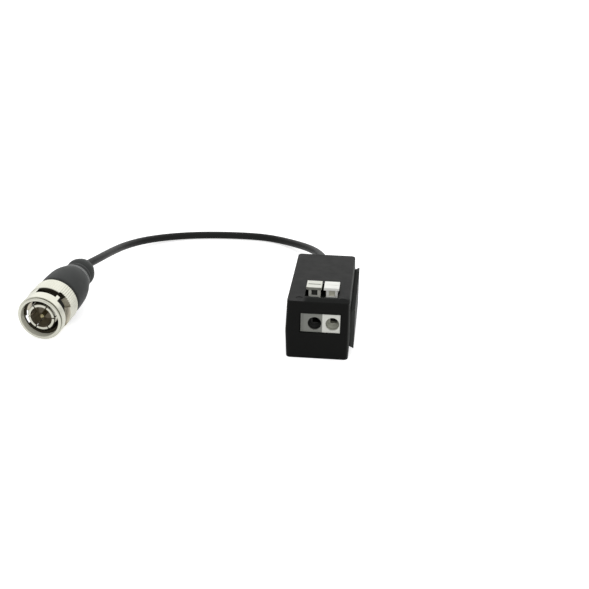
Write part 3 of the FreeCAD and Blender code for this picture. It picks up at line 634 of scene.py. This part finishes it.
def buildPlugCore():
    steps = plugCore["steps"]
    rings = plugCore["rings"]
    last = len(rings) - 1
    split = plugCore["slitRings"]
    slitTurn = 360.0 / plugCore["slitCount"]

    def cutOut(number, following, step):
        degrees = (360.0 * (step + 0.5) / steps) % slitTurn
        near = min(degrees, slitTurn - degrees) < plugCore["slitHalfTurn"]
        return near and (number < split or number == last)

    points, faces, gaps = turned(rings, steps, cutOut)
    sides = sorted({step for _, step in gaps})
    around = (*range(split + 1), last)
    for step in sides:
        beside = (step + 1) % steps
        if (step - 1) % steps not in sides:
            faces.append((tuple(number * steps + step for number in around), 1))
        if beside not in sides:
            faces.append((tuple(number * steps + beside for number in reversed(around)), 1))
        near, far = split * steps, last * steps
        faces.append(((near + step, near + beside, far + beside, far + step), 1))
    metalsUsed = ("nickelPlate", "nickelShaded")
    piece = addPiece("sleeveBody", onPlug(points), faces, metalsUsed, plugCore["softEdge"])
    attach(piece, "housing")
    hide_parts("plug_body")
    return piece


sleeveBody = buildPlugCore()
print("plug body built")


# moulded boot with its band, in a painted highlight, and rings

boot = {
    "steps": 96,
    "front": ((13.0, 4.15), (13.0, 6.36), (13.12, 6.64)),
    "shoulder": ((13.4, 6.76), (16.2, 6.84), (19.0, 6.72), (23.0, 6.13), (26.3, 4.9)),
    "band": ((26.34, 5.0), (26.76, 5.0)),
    "rings": (
        (26.8, 4.88), (27.4, 4.2), (28.4, 4.62), (29.6, 4.1), (31.2, 4.55), (32.9, 4.2), (34.1, 3.68),
        (34.4, 2.6),
    ),
    "inside": ((34.4, 1.33), (22.02, 1.33), (22.02, 3.1), (13.82, 3.1), (13.82, 4.15)),
    "softness": 8,
}


# smooth line through three points, without the first of them
def arcThrough(start, middle, stop, pieces):
    (x1, y1), (x2, y2), (x3, y3) = start, middle, stop
    found = []
    for number in range(1, pieces + 1):
        x = x1 + (x3 - x1) * number / pieces
        a = y1 * (x - x2) * (x - x3) / ((x1 - x2) * (x1 - x3))
        b = y2 * (x - x1) * (x - x3) / ((x2 - x1) * (x2 - x3))
        c = y3 * (x - x1) * (x - x2) / ((x3 - x1) * (x3 - x2))
        found.append((x, a + b + c))
    return found


def buildBoot():
    fine = boot["softness"]
    shoulder, rings = boot["shoulder"], boot["rings"]
    line = [(s, r, 0) for s, r in boot["front"]]
    line.append((*shoulder[0], 0))
    for start in (0, 2):
        line += [(s, r, 0) for s, r in arcThrough(*shoulder[start:start + 3], fine)]
    # the end of the shoulder and the band get the painted highlight
    line[-1] = (*shoulder[-1], 1)
    line[-2] = (*line[-2][:2], 1)
    line += [(s, r, 1) for s, r in boot["band"]]
    line += [(*rings[0], 0), (*rings[1], 0)]
    for start in (1, 3):
        line += [(s, r, 0) for s, r in arcThrough(*rings[start:start + 3], fine)]
    line += [(*rings[6], 0), (*rings[7], 0)]
    line += [(s, r, 0) for s, r in boot["inside"]]
    points, faces, _ = turned(line, boot["steps"])
    piece = addPiece("bootSkin", onPlug(points), faces, ("bootRubber", "bootBandHighlight"))
    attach(piece, "housing")
    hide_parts("plug_boot")
    return piece


bootSkin = buildBoot()
print("boot built")


# coned spring washer, which on the real plug flattens as the nut is pulled towards the mouth

coneWasher = {  # stations and radii in millimetres
    "steps": 96,
    "rings": ((8.81, 4.93, 0), (9.05, 4.93, 0), (9.88, 4.22, 0), (9.64, 4.22, 0)),
    "bendsFrom": 8.8,
    "bendsTo": 9.9,
}


def buildConeWasher():
    points, faces, _ = turned(coneWasher["rings"], coneWasher["steps"])
    piece = addPiece("coneWasher", onPlug(points), faces, ("springSteel",))
    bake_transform(piece)
    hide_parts("spring_washer")
    return piece


washerPiece = buildConeWasher()
print("spring washer built")


# clamp springs: a bent steel strip under each button, which on the real part gives way under its stem

springs = {
    "grey": {"middleX": -1.24, "body": "grey_button", "node": "clamp_spring_grey"},
    "white": {"middleX": 3.84, "body": "white_button", "node": "clamp_spring_white"},
    "path": ((-13.15, 9.4), (-7.75, 10.5), (-5.15, 10.0), (-5.15, 5.65)),  # y and z, in millimetres
    "bendRadius": 0.7,
    "bendSteps": 8,
    "runSteps": 10,
    "width": 2.2,
    "thickness": 0.3,
    "bendsFrom": (-13.15, 9.4),  # on the real strip the tip stays and the top goes down with the button
    "bendsTo": (-11.756, 12.377),
}


# straight runs joined by round bends
def bentPath():
    corners = [Vector(place) for place in springs["path"]]
    radius = springs["bendRadius"]
    line, start = [], corners[0]
    for before, corner, after in zip(corners, corners[1:], corners[2:]):
        wayIn, wayOut = (corner - before).normalized(), (after - corner).normalized()
        half = math.acos(max(-1.0, min(1.0, wayIn.dot(wayOut)))) / 2
        reach = radius * math.tan(half)
        arcStart, arcStop = corner - wayIn * reach, corner + wayOut * reach
        centre = corner + (wayOut - wayIn).normalized() * (radius / math.cos(half))
        steps = springs["runSteps"]
        line += [start.lerp(arcStart, number / steps) for number in range(steps)]
        for number in range(springs["bendSteps"]):
            share = number / springs["bendSteps"]
            line.append(centre + (arcStart.lerp(arcStop, share) - centre).normalized() * radius)
        start = arcStop
    steps = springs["runSteps"]
    line += [start.lerp(corners[-1], number / steps) for number in range(steps + 1)]
    return line


def buildClampSpring(key):
    facts = springs[key]
    line = bentPath()
    points, faces = [], []
    for number, place in enumerate(line):
        ahead = line[min(number + 1, len(line) - 1)] - line[max(number - 1, 0)]
        normal = Vector((-ahead.y, ahead.x)).normalized() * springs["thickness"] / 2
        for side, face in ((-1, -1), (1, -1), (1, 1), (-1, 1)):
            across = facts["middleX"] + side * springs["width"] / 2
            surface = place + face * normal
            points.append((across / 1000, surface.x / 1000, surface.y / 1000))
    for number in range(len(line) - 1):
        for side in range(4):
            beside = (side + 1) % 4
            near, far = 4 * number, 4 * number + 4
            faces.append(((near + side, near + beside, far + beside, far + side), 0))
    last = 4 * (len(line) - 1)
    faces.append(((3, 2, 1, 0), 0))
    faces.append(((last, last + 1, last + 2, last + 3), 0))
    piece = addPiece(key + "ClampSpring", points, faces, ("springSteel",))
    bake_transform(piece)
    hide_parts(facts["node"])


for key in ("grey", "white"):
    buildClampSpring(key)
print("clamp springs built")


# press buttons: a rounded pad with a driver slot on a stem with a pocket

buttons = {
    # finishes: pad, its driver slot, stem, pocket and the front of the pad; the pockets, and the grey
    # button's slot and pad front, are in painted shade
    "grey": {
        "middleX": -1.24, "body": "grey_button", "node": "button_grey", "material": "terminal_grey",
        "finishes": ("buttonGrey", "greyButtonShade", "stemGrey", "pocketGreyShade", "greyButtonShade"),
    },
    "white": {
        "middleX": 3.84, "body": "white_button", "node": "button_white", "material": "terminal_white",
        "finishes": ("buttonWhite", "buttonWhite", "buttonWhite", "pocketWhiteShade", "buttonWhite"),
    },
    # millimetres: the cuts across, along and upward, and what lies between them
    "across": (-2.83, -2.38, -2.18, -1.33, 0.37, 1.12, 1.22, 1.57),
    "along": (-10.9, -10.35, -9.85, -8.51, -8.09, -6.75, -5.7),
    "upward": (10.75, 16.1, 17.85, 18.35, 18.7),
    "pad": ((-2.83, 1.57), (-10.9, -5.7), (17.85, 18.7)),
    "stem": ((-2.18, 1.22), (-10.35, -6.75), (10.75, 17.85)),
    "slot": ((-2.38, 1.12), (-8.51, -8.09), (18.35, 18.7)),
    "pocket": ((-1.33, 0.37), (-10.35, -9.85), (16.1, 17.85)),
    "softEdge": 0.00011,
}


def within(place, part):
    return all(low < value < high for value, (low, high) in zip(place, buttons[part]))


def filled(place):
    solid = within(place, "pad") or within(place, "stem")
    return solid and not within(place, "slot") and not within(place, "pocket")


def buildButton(key):
    facts = buttons[key]
    lines = (buttons["across"], buttons["along"], buttons["upward"])
    middles = [[(a + b) / 2 for a, b in zip(line, line[1:])] for line in lines]
    known, points, faces = {}, [], []

    def corner(i, j, k):
        if (i, j, k) not in known:
            known[(i, j, k)] = len(points)
            x, y, z = lines[0][i] + facts["middleX"], lines[1][j], lines[2][k]
            points.append((x / 1000, y / 1000, z / 1000))
        return known[(i, j, k)]

    sides = (
        ((-1, 0, 0), ((0, 0, 0), (0, 0, 1), (0, 1, 1), (0, 1, 0))),
        ((1, 0, 0), ((1, 0, 0), (1, 1, 0), (1, 1, 1), (1, 0, 1))),
        ((0, -1, 0), ((0, 0, 0), (1, 0, 0), (1, 0, 1), (0, 0, 1))),
        ((0, 1, 0), ((0, 1, 0), (0, 1, 1), (1, 1, 1), (1, 1, 0))),
        ((0, 0, -1), ((0, 0, 0), (0, 1, 0), (1, 1, 0), (1, 0, 0))),
        ((0, 0, 1), ((0, 0, 1), (1, 0, 1), (1, 1, 1), (0, 1, 1))),
    )
    pad, slot, stem, pocket, padFront = range(5)
    for i, x in enumerate(middles[0]):
        for j, y in enumerate(middles[1]):
            for k, z in enumerate(middles[2]):
                if not filled((x, y, z)):
                    continue
                for step, square in sides:
                    near = []
                    for axis, (index, shift) in enumerate(zip((i, j, k), step)):
                        inside = 0 <= index + shift < len(middles[axis])
                        near.append(middles[axis][index + shift] if inside else math.inf)
                    if filled(near):
                        continue
                    part = stem if z < buttons["pad"][2][0] else padFront if step == (0, -1, 0) else pad
                    part = slot if within(near, "slot") else pocket if within(near, "pocket") else part
                    faces.append((tuple(corner(i + a, j + b, k + c) for a, b, c in square), part))
    piece = addPiece(key + "Button", points, faces, facts["finishes"], buttons["softEdge"])
    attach(piece, facts["body"])
    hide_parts(facts["node"])


for key in ("grey", "white"):
    buildButton(key)
print("buttons built")


# floor, light and background

studio = {  # a mirrored lamp shows in reflections
    "floorReach": 2.0,
    "floorColour": (0.80, 0.80, 0.80),
    "floorRough": 0.9,
    "floorGlow": 0.62,
    "whiteFrom": (0.25, 0.8),
    "skyForObject": 0.36,
    "overhead": {
        "place": (-0.03, 0.36, 0.56), "aim": (-0.03, 0.0, 0.0), "size": 1.5, "power": 5.2, "mirrored": True,
    },
    "front": {
        "place": (0.15, -0.66, 0.44), "aim": (-0.03, 0.0, 0.01), "size": 1.0, "power": 4.0, "mirrored": False,
    },
}


# 1 where the camera or a reflection looks, 0 for the light on the object
def seenRays(tree):
    rays = tree.nodes.new("ShaderNodeLightPath")
    seen = tree.nodes.new("ShaderNodeMath")
    seen.operation = "MAXIMUM"
    tree.links.new(rays.outputs["Is Camera Ray"], seen.inputs[0])
    tree.links.new(rays.outputs["Is Glossy Ray"], seen.inputs[1])
    return rays, seen.outputs[0]


def layFloor():
    reach = studio["floorReach"]
    mesh = bpy.data.meshes.new("studioFloor")
    corners = [(-reach, -reach, 0), (reach, -reach, 0), (reach, reach, 0), (-reach, reach, 0)]
    mesh.from_pydata(corners, [], [(0, 1, 2, 3)])
    floor = bpy.data.objects.new("studioFloor", mesh)
    bpy.context.scene.collection.objects.link(floor)
    material, tree, shader = blankMaterial("paleFloor")
    shader.inputs["Roughness"].default_value = studio["floorRough"]
    shader.inputs["Specular IOR Level"].default_value = 0.0
    shader.inputs["Base Color"].default_value = (*studio["floorColour"], 1.0)
    _, seen = seenRays(tree)
    place = tree.nodes.new("ShaderNodeNewGeometry")
    away = tree.nodes.new("ShaderNodeVectorMath")
    away.operation = "LENGTH"
    tree.links.new(place.outputs["Position"], away.inputs[0])
    fade = tree.nodes.new("ShaderNodeMapRange")
    fade.inputs["From Min"].default_value, fade.inputs["From Max"].default_value = studio["whiteFrom"]
    fade.inputs["To Min"].default_value = studio["floorGlow"]
    fade.inputs["To Max"].default_value = 1.0
    tree.links.new(away.outputs["Value"], fade.inputs["Value"])
    glow = tree.nodes.new("ShaderNodeMath")
    glow.operation = "MULTIPLY"
    tree.links.new(fade.outputs["Result"], glow.inputs[1])
    tree.links.new(seen, glow.inputs[0])
    shader.inputs["Emission Color"].default_value = (1.0, 1.0, 1.0, 1.0)
    tree.links.new(glow.outputs[0], shader.inputs["Emission Strength"])
    mesh.materials.append(material)


def hangLamp(name):
    facts = studio[name]
    light = bpy.data.lights.new(name + "Lamp", "AREA")
    light.shape = "SQUARE"
    light.size = facts["size"]
    light.energy = facts["power"]
    lamp = bpy.data.objects.new(name + "Lamp", light)
    lamp.location = facts["place"]
    lamp.visible_glossy = facts["mirrored"]
    aim = Vector(facts["aim"]) - Vector(facts["place"])
    lamp.rotation_euler = aim.to_track_quat("-Z", "Y").to_euler()
    bpy.context.scene.collection.objects.link(lamp)


def paintSky():
    world = bpy.data.worlds.new("studioSky")
    bpy.context.scene.world = world
    world.use_nodes = True
    tree = world.node_tree
    background = next(n for n in tree.nodes if n.type == "BACKGROUND")
    background.inputs["Color"].default_value = (1.0, 1.0, 1.0, 1.0)
    rays, seen = seenRays(tree)
    through = tree.nodes.new("ShaderNodeMath")
    through.operation = "MAXIMUM"
    tree.links.new(seen, through.inputs[0])
    tree.links.new(rays.outputs["Is Transmission Ray"], through.inputs[1])
    level = tree.nodes.new("ShaderNodeMapRange")
    level.inputs["To Min"].default_value = studio["skyForObject"]
    level.inputs["To Max"].default_value = 1.0
    tree.links.new(through.outputs[0], level.inputs["Value"])
    tree.links.new(level.outputs["Result"], background.inputs["Strength"])


layFloor()
hangLamp("overhead")
hangLamp("front")
paintSky()
print("studio ready")


# the pieces that hang on the end of the free lead

plugPieces = [nutShell, sleeveBody, bootSkin, washerPiece]
plugPieces += [cadNodes[name] for name in (
    "plug_insulator", "centre_pin", "mating_gasket", "slip_washer",
    "retaining_clip", "crimp_ferrule", "cable_plug_end",
)]
